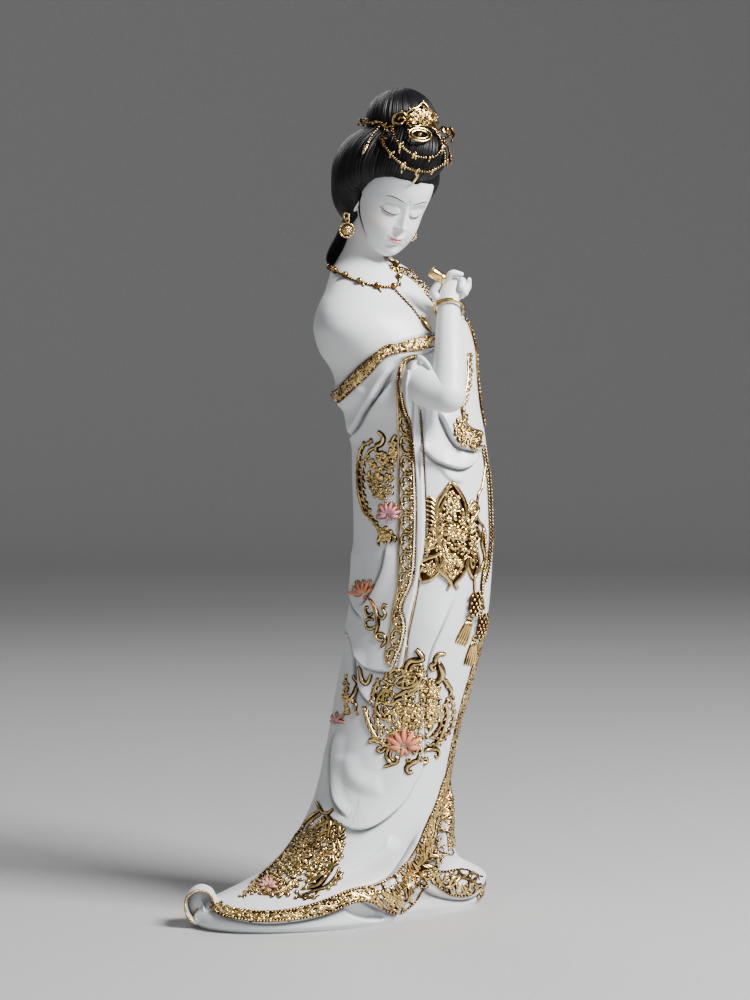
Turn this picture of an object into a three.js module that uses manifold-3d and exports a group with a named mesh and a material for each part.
// A porcelain lady in court dress, about 56 cm tall, cast in one with the spread hem she stands on,
// with a gilt hair ornament, earrings, necklace, bangle and scroll made apart and put on her.
// Millimetres, +Z up. She is shown from the -Y side, with +X to the viewer's right: her breast turns to
// +X and a little to the viewer, her face more to the viewer, and her train trails to -X.
import * as THREE from "three";
import { mergeVertices } from "three/addons/utils/BufferGeometryUtils.js";
import Module from "manifold-3d";

const wasm = await Module();
wasm.setup();

const DEGREE = Math.PI / 180;
const GAP = 0.35; // left between pieces that only touch
const LIE = 0.9; // the same where one lies along another
const AROUND = 58; // points around her dress
const LEVEL_STEP = 10; // height between its rings, closer near the foot

// The figure is drawn as she looks from EYE. SHIFT then brings the middle of her base to the origin.
const EYE = new THREE.Vector3(23.4, -2000, 400);
const SHIFT = new THREE.Vector3(2.16, -26.66, 0);

// Levels of her dress, from the foot up: height, left, right, near and far reach, and how far the
// outline is skewed towards the far right, in degrees.
const LEVELS = [
  [0, -101, 97, -50, 104, 33],
  [4, -106, 100, -54, 108, 33],
  [12, -104, 101, -53, 106, 33],
  [18, -86, 101, -48, 102, 32],
  [24, -68, 95, -43, 96, 30],
  [32, -53, 82, -36, 88, 27],
  [43, -40, 78, -30, 80, 22],
  [64, -25, 76, -24, 74, 14],
  [91, -14.5, 78.5, -20, 70, 8],
  [124, -8, 83, -18, 68, 3],
  [156, -2.5, 91, -17, 68, 0],
  [187, 4, 98, -17, 69, 0],
  [213, 8, 101, -17, 71, 0],
  [258, 9, 103.5, -17, 72, 0],
  [305, 8, 101, -14, 72, 0],
  [337, 5, 96.5, -16, 72, 2],
  [362, -4, 93, -20, 74, 6],
  [384, -14, 92, -24, 79, 14],
  [398, -18, 89, -25, 82, 22],
  [408, -17, 84, -22, 80, 25],
  [416, -14.5, 74, -16, 75, 25],
  [424, -11, 63, -8, 67, 22],
  [432, -8.5, 54, -1, 59, 15],
  [440, -6, 45, 7, 52, 8],
  [447, -2, 34, 13, 45, 0],
  [454, 2, 31, 14, 42, 0],
  [464, 6, 32, 13, 40, 0],
  [476, 10, 35, 10, 38, 0],
];

// Folds of the dress on the picture plane y = 0 as seen from EYE: points across and up, then the height
// of the fold, its reach to the left of the way the points go, and its reach to the right.
const FOLDS = [
  // The swags of the shawl under the elbow.
  { line: [[50, 326], [64, 312], [79, 306], [93, 316]], height: 4, left: 12, right: 5 },
  { line: [[68, 343], [78, 323], [94, 318]], height: 4, left: 12, right: 5 },
  // The over-skirt, looped up to the belt at one end and to the back at the other.
  {
    line: [[78, 226], [58, 177], [54, 106], [40, 79], [24, 66], [11, 62], [-2, 67], [-10, 80]],
    height: 5,
    left: 6,
    right: 22,
  },
  { line: [[-3, 128], [-5, 105], [-3, 80], [8, 68]], height: 2, left: 7, right: 4 },
  { line: [[2, 116], [8, 98], [20, 91], [36, 92]], height: 2.5, left: 12, right: 6 },
  // Folds that run out into the train.
  { line: [[37, 59], [25, 45], [2, 32], [-30, 24], [-62, 19]], height: 4, left: 12, right: 8 },
  { line: [[56, 60], [46, 41], [33, 26], [10, 16]], height: 3, left: 10, right: 6 },
  // The front edge of the robe, down to the corner of its hem.
  { line: [[92, 160], [82, 128], [76, 96], [69, 60], [63, 34], [56, 14]], height: 4, left: 16, right: 6 },
];

// Broad layers of cloth on the same plane: outline, thickness and width of the edge.
const LAYERS = [
  // The hanging right sleeve.
  {
    outline: [[-22, 345], [0, 330], [20, 348], [40, 372], [48, 378], [52, 345], [56, 307], [57, 260],
      [52, 227], [46, 199], [41, 170], [20, 168], [9, 180], [-6, 190], [-30, 260]],
    height: 4,
    edge: 6,
  },
  // The slipped robe with its gold edge, from the crook of the arm to the back.
  {
    outline: [[-24, 330], [-14, 352], [1, 363], [13, 374], [24, 383], [39, 389], [63, 396], [63, 386],
      [46, 380], [36, 374], [26, 360], [14, 338], [4, 322]],
    height: 5,
    edge: 8,
  },
  // The coat over the left shoulder.
  {
    outline: [[30, 450], [34, 441], [44, 438], [52, 432], [60, 424], [66, 417], [110, 400], [110, 470]],
    height: 2,
    edge: 3,
  },
  // The hem of the robe over the foot.
  {
    outline: [[-115, 40], [-115, 16], [-88, 9], [-78, 2], [-54, -2], [-33, -1], [-13, 3], [2, 9], [14, 13],
      [31, 6], [40, 4], [48, 9], [55, 18], [60, 38], [56, 60], [30, 50], [0, 44], [-60, 34]],
    height: 2.5,
    edge: 5,
  },
  // The ornament that closes the belt.
  {
    outline: [[73, 298], [80, 282], [92, 272], [88, 258], [86, 244], [77, 224], [73, 236], [66, 234],
      [54, 230], [60, 246], [57, 262], [52, 272], [58, 286], [66, 282]],
    height: 3,
    edge: 5,
  },
];

// Her head: the middle of it, the ways it faces and rises, and its levels from the chin up as height,
// half width, reach of the face and reach of the back of the head.
const HEAD = new THREE.Vector3(34.5, 16, 488);
const HEAD_TURN = new THREE.Vector3(0.377, -0.807, -0.454);
const HEAD_RISE = new THREE.Vector3(0.321, -0.346, 0.882);
const HEAD_LEVELS = [
  [-35, 5, 19, 4],
  [-32, 10, 22.5, 1],
  [-27, 15.5, 23, -3],
  [-20, 19.5, 24.5, -9],
  [-13, 22, 24.5, -17],
  [-5, 23.6, 24, -24],
  [4, 24.6, 25, -27],
  [14, 24.6, 26, -28],
  [22, 23, 23.5, -26],
  [29, 18, 17, -20],
  [34, 9, 8, -10],
];

// The way of the necklace around her neck: turn in degrees and height.
const NECKLACE = [
  [-180, 441], [-140, 437], [-110, 432], [-85, 429], [-65, 432], [-50, 440], [-20, 450], [30, 455],
  [90, 457], [150, 448], [180, 441],
];

const at = (x, y, z) => new THREE.Vector3(x, y, z);
const smooth = (t) => {
  const s = Math.min(Math.max(t, 0), 1);
  return s * s * (3 - 2 * s);
};

// A smooth curve through rows whose first number is the place along it.
function through(rows) {
  const slope = (i, k) => {
    const [a, b] = [rows[Math.max(i - 1, 0)], rows[Math.min(i + 1, rows.length - 1)]];
    return (b[k] - a[k]) / (b[0] - a[0]);
  };
  return (place) => {
    let i = 0;
    while (i < rows.length - 2 && place > rows[i + 1][0]) i++;
    const span = rows[i + 1][0] - rows[i][0];
    const t = Math.min(Math.max((place - rows[i][0]) / span, 0), 1);
    return rows[0].slice(1).map((_, j) => {
      const [p, q] = [rows[i][j + 1], rows[i + 1][j + 1]];
      const [m, n] = [slope(i, j + 1) * span, slope(i + 1, j + 1) * span];
      return p + t * (m + t * (3 * (q - p) - 2 * m - n + t * (m + n - 2 * (q - p))));
    });
  };
}

// The distance of a place from a line of points, which side it is on, and how far along it lies.
function beside([x, y], line) {
  let best = { distance: Infinity, side: 1, along: 0 };
  for (let i = 0; i < line.length - 1; i++) {
    const [[ax, ay], [bx, by]] = [line[i], line[i + 1]];
    const [dx, dy] = [bx - ax, by - ay];
    const t = Math.min(Math.max(((x - ax) * dx + (y - ay) * dy) / (dx * dx + dy * dy), 0), 1);
    const distance = Math.hypot(x - ax - t * dx, y - ay - t * dy);
    if (distance < best.distance) {
      const side = dx * (y - ay) - dy * (x - ax) >= 0 ? 1 : -1;
      best = { distance, side, along: (i + t) / (line.length - 1) };
    }
  }
  return best;
}

// The same line, rounded, with more points.
const rounded = (line) =>
  new THREE.CatmullRomCurve3(line.map(([x, y]) => at(x, y, 0)))
    .getPoints(line.length * 4)
    .map(({ x, y }) => [x, y]);

const inside = ([x, y], outline) =>
  outline.reduce((odd, [ax, ay], i) => {
    const [bx, by] = outline[(i + 1) % outline.length];
    return ay > y !== by > y && x < ax + ((y - ay) * (bx - ax)) / (by - ay) ? !odd : odd;
  }, false);

const level = through(LEVELS);

const folds = FOLDS.map((fold) => ({ ...fold, line: rounded(fold.line) }));

// Where a point shows on the picture plane.
function shown(point) {
  const scale = -EYE.y / (point.y - EYE.y);
  return [EYE.x + (point.x - EYE.x) * scale, EYE.z + (point.z - EYE.z) * scale];
}

// How far the cloth stands out from the plain outline at a point of the near side.
function relief(point) {
  const place = shown(point);
  let out = 0;
  for (const { line, height, left, right } of folds) {
    const { distance, side, along } = beside(place, line);
    const ends = smooth(along * 5) * smooth((1 - along) * 5);
    out += height * ends * (1 - smooth(distance / (side > 0 ? left : right)));
  }
  for (const { outline, height, edge } of LAYERS)
    if (inside(place, outline))
      out += height * smooth(beside(place, [...outline, outline[0]]).distance / edge);
  return out;
}

// A point of her dress, grown by some millimetres.
function dressPoint(turn, z, grow = 0) {
  const [left, right, near, far, skewed] = level(z);
  const skew = skewed * DEGREE;
  const [halfX, halfY] = [(right - left) / 2, (far - near) / 2];
  const point = at(
    (left + right) / 2 + halfX * Math.cos(turn),
    (near + far) / 2 + halfY * Math.sin(turn + skew),
    z,
  );
  const outward = at(halfY * Math.cos(turn + skew), halfX * Math.sin(turn), 0).normalize();
  const nearSide = smooth((0.15 - outward.y) / 0.4);
  const cloth = smooth((400 - z) / 30);
  const pleats = 3 * Math.cos(9 * turn) * smooth((outward.y + 0.1) / 0.5) * smooth(z / 40) * cloth;
  const hem = smooth(z / 8);
  const notch = 16 * Math.exp(-(((turn / DEGREE + 52) / 13) ** 2)) * smooth((70 - z) / 60);
  const stand = nearSide * hem * relief(point) + pleats * smooth((300 - z) / 100) - notch;
  return point.addScaledVector(outward, stand + grow);
}

// A closed mesh over rings of equally many points, its two ends closed to their middles.
function skin(rings) {
  const [count, around] = [rings.length, rings[0].length];
  const middle = (ring) => ring.reduce((sum, p) => sum.add(p), at(0, 0, 0)).divideScalar(ring.length);
  const points = [...rings.flat(), middle(rings[0]), middle(rings[count - 1])];
  const faces = [];
  for (let j = 0; j < around; j++) {
    const k = (j + 1) % around;
    for (let i = 0; i < count - 1; i++) {
      const [a, b] = [i * around, (i + 1) * around];
      faces.push(a + j, a + k, b + k, a + j, b + k, b + j);
    }
    faces.push(points.length - 2, k, j);
    faces.push(points.length - 1, (count - 1) * around + j, (count - 1) * around + k);
  }
  const geometry = new THREE.BufferGeometry().setFromPoints(points);
  geometry.setIndex(faces);
  return geometry;
}

// A solid from any closed geometry, turned the right way out.
function solid(geometry) {
  const bare = geometry.clone();
  bare.deleteAttribute("normal");
  bare.deleteAttribute("uv");
  const merged = mergeVertices(bare, 1e-4);
  const make = (triVerts) =>
    new wasm.Manifold(
      new wasm.Mesh({ numProp: 3, vertProperties: merged.attributes.position.array, triVerts }),
    );
  const triangles = new Uint32Array(merged.index.array);
  const made = make(triangles);
  if (made.volume() > 0) return made;
  for (let i = 0; i < triangles.length; i += 3)
    [triangles[i + 1], triangles[i + 2]] = [triangles[i + 2], triangles[i + 1]];
  return make(triangles);
}

const union = (solids) => wasm.Manifold.union(solids);

// The one outer skin of a solid, with any hollow sealed inside it filled.
const whole = (made) => made.decompose().reduce((a, b) => (b.volume() > a.volume() ? b : a));

// A round bar along points, each [x, y, z, radius], with rounded ends.
function limb(points, around = 10, steps = 8) {
  const path = new THREE.CatmullRomCurve3(points.map(([x, y, z]) => at(x, y, z)));
  const width = through(points.map((p, i) => [i / (points.length - 1), p[3]]));
  const frames = path.computeFrenetFrames(steps, false);
  const ring = (i, push, shrink) => {
    const [radius] = width(i / steps);
    const centre = path.getPoint(i / steps).addScaledVector(frames.tangents[i], push * radius);
    return Array.from({ length: around }, (_, j) => {
      const turn = (j / around) * 2 * Math.PI;
      return centre
        .clone()
        .addScaledVector(frames.normals[i], radius * shrink * Math.cos(turn))
        .addScaledVector(frames.binormals[i], radius * shrink * Math.sin(turn));
    });
  };
  const rings = [ring(0, -0.6, 0.6)];
  for (let i = 0; i <= steps; i++) rings.push(ring(i, 0, 1));
  rings.push(ring(steps, 0.6, 0.6));
  return solid(skin(rings));
}

// An egg with half sizes along three directions.
function egg(centre, sizes, axes, around = 20, levels = 10) {
  const rings = [];
  for (let i = 1; i < levels; i++) {
    const rise = Math.PI * (i / levels - 0.5);
    rings.push(
      Array.from({ length: around }, (_, j) => {
        const turn = (j / around) * 2 * Math.PI;
        return centre
          .clone()
          .addScaledVector(axes[0], sizes[0] * Math.cos(rise) * Math.cos(turn))
          .addScaledVector(axes[1], sizes[1] * Math.sin(rise))
          .addScaledVector(axes[2], sizes[2] * Math.cos(rise) * Math.sin(turn));
      }),
    );
  }
  return solid(skin(rings));
}

// A flat shape drawn on the picture plane, carried along her viewer's line of sight between two depths.
function sight(section, near = -60, far = 14) {
  const size = (y) => (y - EYE.y) / -EYE.y;
  const drawn = section.translate([-EYE.x, -EYE.z]).scale([size(near), size(near)]);
  const bar = drawn.extrude(far - near, 0, 0, [size(far) / size(near), size(far) / size(near)]);
  return bar.transform([1, 0, 0, 0, 0, 0, 1, 0, 0, 1, 0, 0, EYE.x, near, EYE.z, 1]);
}

// A line of some width on the picture plane.
function stroke(line, width) {
  const dot = (p) => wasm.CrossSection.circle(width / 2, 5).translate(p);
  return wasm.CrossSection.union(
    line.slice(1).map((p, i) => wasm.CrossSection.hull([dot(line[i]), dot(p)])),
  );
}

// The point of her dress that shows at a place of the picture plane, some millimetres off the cloth.
function onDress([across, up], off) {
  let [z, turn] = [up, -Math.PI / 2];
  for (let round = 0; round < 4; round++) {
    let [low, high] = [-Math.PI, -0.05];
    for (let i = 0; i < 20; i++) {
      turn = (low + high) / 2;
      if (shown(dressPoint(turn, z))[0] < across) low = turn;
      else high = turn;
    }
    const y = dressPoint(turn, z).y;
    z = EYE.z + ((up - EYE.z) * (y - EYE.y)) / -EYE.y;
  }
  return dressPoint(turn, z, off);
}

// The directions of her head: to her left, up and forward.
const forward = HEAD_TURN.clone().normalize();
const upward = HEAD_RISE.clone().addScaledVector(forward, -HEAD_RISE.dot(forward)).normalize();
const leftward = upward.clone().cross(forward);
const HEAD_AXES = [leftward, upward, forward];
const inHead = (l, u, f) =>
  HEAD.clone().addScaledVector(leftward, l).addScaledVector(upward, u).addScaledVector(forward, f);

function dress(grow = 0, around = AROUND, step = LEVEL_STEP) {
  const rings = [];
  const top = LEVELS[LEVELS.length - 1][0];
  const heights = [0, 3, 6, 9, 12, 15, 19, 23, 28, 33, 39, 45];
  for (let z = 45 + step; z < top; z += z > 300 && z < 440 ? step * 0.7 : step) heights.push(z);
  for (const z of [...heights, top])
    rings.push(Array.from({ length: around }, (_, j) => dressPoint((j / around) * 2 * Math.PI, z, grow)));
  return solid(skin(rings)).simplify(0.7);
}

// The face is a plain one of even proportions.
function head() {
  const profile = through(HEAD_LEVELS);
  const [low, high] = [HEAD_LEVELS[0][0], HEAD_LEVELS[HEAD_LEVELS.length - 1][0]];
  const rings = [];
  for (let i = 0; i <= 12; i++) {
    const u = low + (i / 12) * (high - low);
    const [half, face, back] = profile(u);
    const depth = (face - back) / 2;
    rings.push(
      Array.from({ length: 20 }, (_, j) => {
        const turn = (j / 20) * 2 * Math.PI;
        return inHead(half * Math.cos(turn), u, face - depth + depth * Math.sin(turn));
      }),
    );
  }
  const nose = [[3, 23, 1.6], [-5, 25.5, 2], [-11, 27, 3]];
  return union([solid(skin(rings)), limb(nose.map(([u, f, r]) => [...inHead(0, u, f).toArray(), r]), 6, 3)]);
}

// Her hair: the mass over the skull, the roll above the brow, the bun and the lock at the nape.
function hair(grow = 0) {
  const g = (...sizes) => sizes.map((size) => size + grow);
  const lock = [[9, 28, 474, 7], [3, 31, 462, 5], [-2.5, 33, 452, 4], [-6.5, 33, 446, 2.2]];
  return union([
    egg(inHead(-5, 12, -9), g(37.5, 34, 33), HEAD_AXES, 18, 10),
    egg(inHead(-6, -2, -12), g(31, 28, 26), HEAD_AXES, 16, 8),
    egg(inHead(-1, 36, 8), g(24, 20, 21), HEAD_AXES, 20, 10),
    egg(at(41, 22, 540), g(24, 24, 22), [at(1, 0, 0), at(0, 1, 0), at(0, 0, 1)], 20, 10),
    limb(lock.map(([x, y, z, r]) => [x, y, z, r + grow]), 8, 5),
  ]);
}

function arm(grow = 0) {
  const g = (points) => points.map(([x, y, z, r]) => [x, y, z, r + grow]);
  return union([
    limb(g([[6, 2, 388, 15], [38, -20, 369.5, 15], [71, -34, 356.5, 12.5]]), 12, 5),
    limb(g([[71, -34, 356.5, 12.5], [72.5, -26, 381, 10.2], [72.5, -8, 414, 7.6]]), 12, 5),
  ]);
}

function hand(grow = 0) {
  const finger = (points, radius) => limb(points.map((p) => [...p, radius + grow]), 6, 3);
  return union([
    limb([[72.5, -10, 410, 7.6], [73, -4, 419, 7.4], [76, 0, 427, 6.4]].map(([x, y, z, r]) => [x, y, z, r + grow]), 10, 3),
    egg(at(75.5, -1, 426), [8.5 + grow, 9 + grow, 6 + grow], [at(0.9, 0.4, 0), at(0.3, 0.3, 0.9), at(0, -1, 0)], 12, 6),
    finger([[71, -2, 431], [75, -5, 436.5], [81, -5, 436]], 2.4),
    finger([[77, -1, 429], [81.5, -4, 431.5], [81, -8, 427]], 2.7),
    finger([[80, 0, 426], [84, -3, 428], [83.5, -7, 423.5]], 2.6),
    finger([[81, 1, 422], [85.5, 0, 427], [86.5, -1, 432.5]], 2.3),
    finger([[67, -4, 418], [62.5, -6, 423.5], [65.5, -7, 429.5]], 2.9),
  ]);
}

// The mouth of the slipped sleeve, gathered around her upper arm.
const mouth = () =>
  limb([[8, 2, 372, 13], [18, -9, 374, 15.5], [30, -16, 370, 16.5], [41, -21, 366, 17]], 12, 4);

// The rolled end of the train.
const curl = () => limb([[-86, -42, 6, 4.5], [-97, -28, 9, 7.5], [-100, -8, 9, 7.5], [-96, 14, 7, 5]], 8, 5);

// The tassels that hang from the belt.
function tassels() {
  const hang = (line) => limb(line.map(([u, w, r]) => [...onDress([u, w], r * 0.4).toArray(), r]), 7, 2);
  return union([
    hang([[90, 222, 2.5], [89, 215, 4.6], [88, 207, 2.6]]),
    hang([[87, 204, 2.6], [85, 196, 3.4], [80, 187, 4.2]]),
    hang([[94, 208, 2.4], [93, 200, 4], [91, 193, 2.6]]),
    hang([[90, 190, 2.6], [88, 181, 3.2], [86, 172, 4]]),
  ]);
}

const scrollBar = (grow) =>
  limb([[61, -9, 437], [65, -8, 435.3], [69, -7, 433.6]].map((p) => [...p, 3.6 + grow]), 12, 2);

const body = union([dress(), head(), hair(), arm(), mouth(), curl(), tassels()]);
const figure = whole(union([body, hand()]).subtract(scrollBar(GAP)).simplify(0.35));

// The hair ornament lies over the bun and the roll of hair: a plate of scrolls, an eye-shaped loop,
// two swagged chains with drops, and a pin to either side.
function headdress() {
  const drawn = wasm.CrossSection.union([
    wasm.CrossSection.ofPolygons([[[36, 533], [38, 542], [45, 545], [50, 550], [57, 548], [63, 542],
      [64, 534], [58, 531], [50, 530], [42, 531]]], "EvenOdd"),
    stroke([[44, 531], [49, 524], [58, 524], [62, 530]], 3),
    stroke([[35, 533], [34, 518], [48, 511], [62, 517], [63, 530]], 2.4),
    stroke([[35, 533], [28, 524], [36, 507], [52, 501], [67, 508], [69, 522], [63, 530]], 2.4),
    stroke([[50, 503], [47, 494]], 2.4),
    stroke([[28, 527], [15, 513]], 2.4),
  ]);
  const shell = hair(LIE + 2.2).subtract(union([hair(LIE), head()]));
  const pins = [
    limb([[38, -2, 535, 1.4], [26, -3, 538, 1.4], [15, 2, 539, 2.4]], 6, 3),
    limb([[58, -1, 535, 1.4], [67, 0, 534, 2.8], [75, 4, 529, 1.4]], 6, 4),
  ];
  const made = union([sight(drawn).intersect(shell), union(pins).subtract(hair(LIE))]);
  return whole(made.simplify(0.6));
}

function necklace() {
  const way = through(NECKLACE);
  const path = Array.from({ length: 36 }, (_, i) => {
    const degrees = -180 + i * 10;
    return dressPoint(degrees * DEGREE, way(degrees)[0], LIE + 2.2);
  });
  const curve = new THREE.CatmullRomCurve3(path, true);
  const ring = solid(new THREE.TubeGeometry(curve, 36, 1.3, 5, true));
  const drawn = wasm.CrossSection.union([
    stroke([[33, 431], [40, 421], [49, 414], [54, 406]], 2.2),
    stroke([[54, 404], [56, 398]], 4.5),
  ]);
  const hung = sight(drawn).intersect(dress(LIE + 2.6).subtract(dress(LIE + 0.4)));
  return union([ring, hung]).subtract(union([hair(LIE), arm(LIE), figure])).simplify(0.4);
}

function bangle() {
  const ring = new THREE.TorusGeometry(10.4, 1.1, 6, 24);
  ring.applyQuaternion(
    new THREE.Quaternion().setFromUnitVectors(at(0, 0, 1), at(0.03, 0.58, 0.81).normalize()),
  );
  ring.translate(72.8, -9, 411.5);
  return solid(ring);
}

// A pierced plate on a loop.
function earring(lobe) {
  const hang = (drop) => at(lobe.x, lobe.y, lobe.z - drop);
  const across = at(0.97, 0.24, 0);
  const axes = [across, at(0, 0, 1), at(0.24, -0.97, 0)];
  const loop = new THREE.TorusGeometry(2.6, 0.7, 4, 10).rotateX(Math.PI / 2);
  loop.translate(lobe.x, lobe.y, lobe.z - 3);
  return union([solid(loop), egg(hang(11), [5, 6.5, 1.6], axes, 12, 6)]).subtract(
    union([hair(LIE), dress(LIE)]),
  );
}

// The made pieces become meshes of the group, moved so that her base is centred.
const group = new THREE.Group();
function add(name, made, color, metalness, roughness) {
  const { vertProperties, triVerts } = made.translate(SHIFT.toArray()).getMesh();
  const geometry = new THREE.BufferGeometry();
  geometry.setAttribute("position", new THREE.BufferAttribute(vertProperties, 3));
  geometry.setIndex(new THREE.BufferAttribute(triVerts, 1));
  geometry.computeVertexNormals();
  const mesh = new THREE.Mesh(geometry, new THREE.MeshStandardMaterial({ color, metalness, roughness }));
  mesh.name = name;
  group.add(mesh);
}

add("figure", figure, "#e2e5e8", 0, 0.45);
add("headdress", headdress(), "#d9a441", 1, 0.3);
add("necklace", necklace(), "#d9a441", 1, 0.3);
add("bangle", bangle(), "#d9a441", 1, 0.3);
add("earring_right", earring(at(4.5, -3, 477)), "#d9a441", 1, 0.3);
add("earring_left", earring(at(48, 38, 473)), "#d9a441", 1, 0.3);
add("scroll", scrollBar(0), "#d9a441", 1, 0.3);

export default group;
